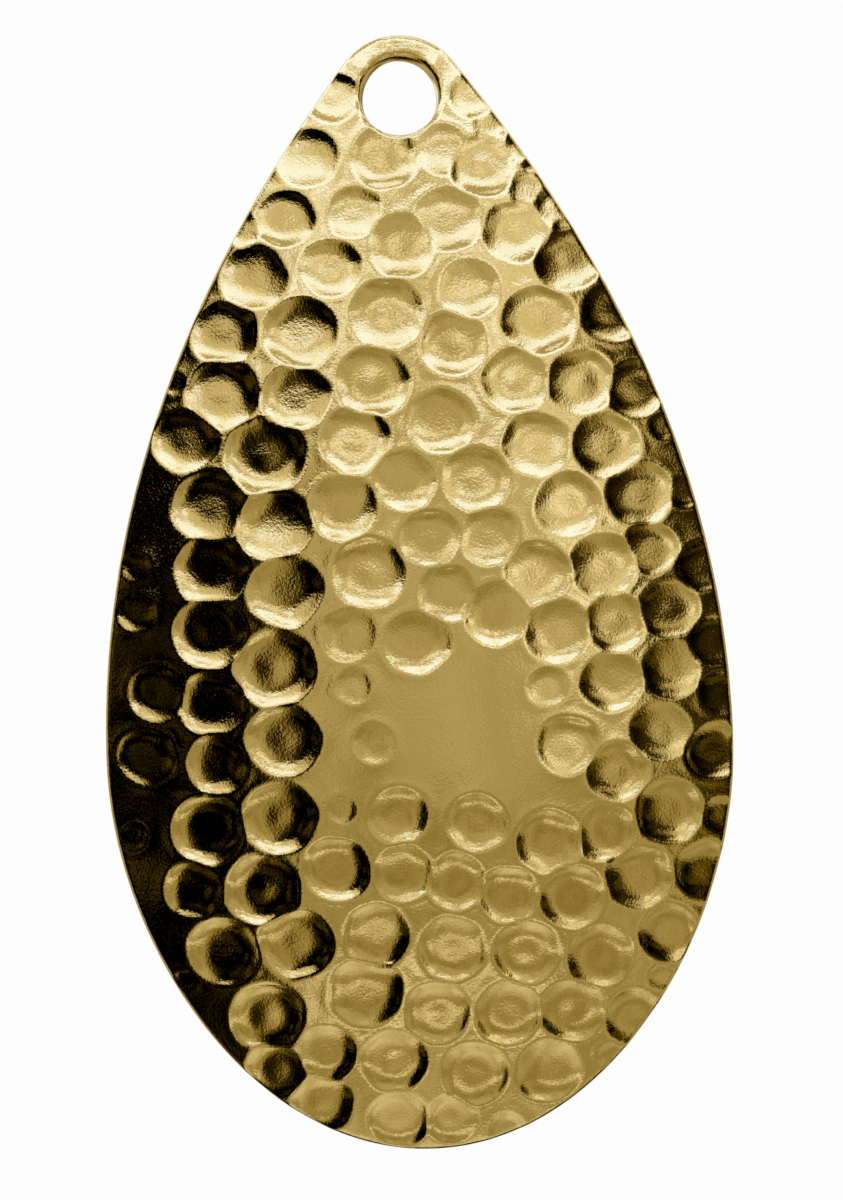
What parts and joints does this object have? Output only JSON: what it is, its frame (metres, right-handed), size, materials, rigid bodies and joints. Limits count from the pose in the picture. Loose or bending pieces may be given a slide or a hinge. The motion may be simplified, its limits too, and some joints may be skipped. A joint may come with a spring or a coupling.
{
  "type": "hammered lure blade",
  "caption": "Teardrop fishing lure blade of polished brass sheet, dished, with a hammered convex face and a hanging hole at its narrow end.",
  "frame": {"origin": "middle of the hanging hole, half way through the sheet", "axes": "+Z along the blade towards the end with the hole, +X across the blade, and -Y out of the convex, hammered face"},
  "size_m": [0.0198, 0.004, 0.0349],
  "materials": {
    "polished_brass": "mirror polished and hammered, gold tone, clear lacquer"
  },
  "bodies": {
    "root": {"hammered_blade": "polished_brass"}
  },
  "joints": []
}
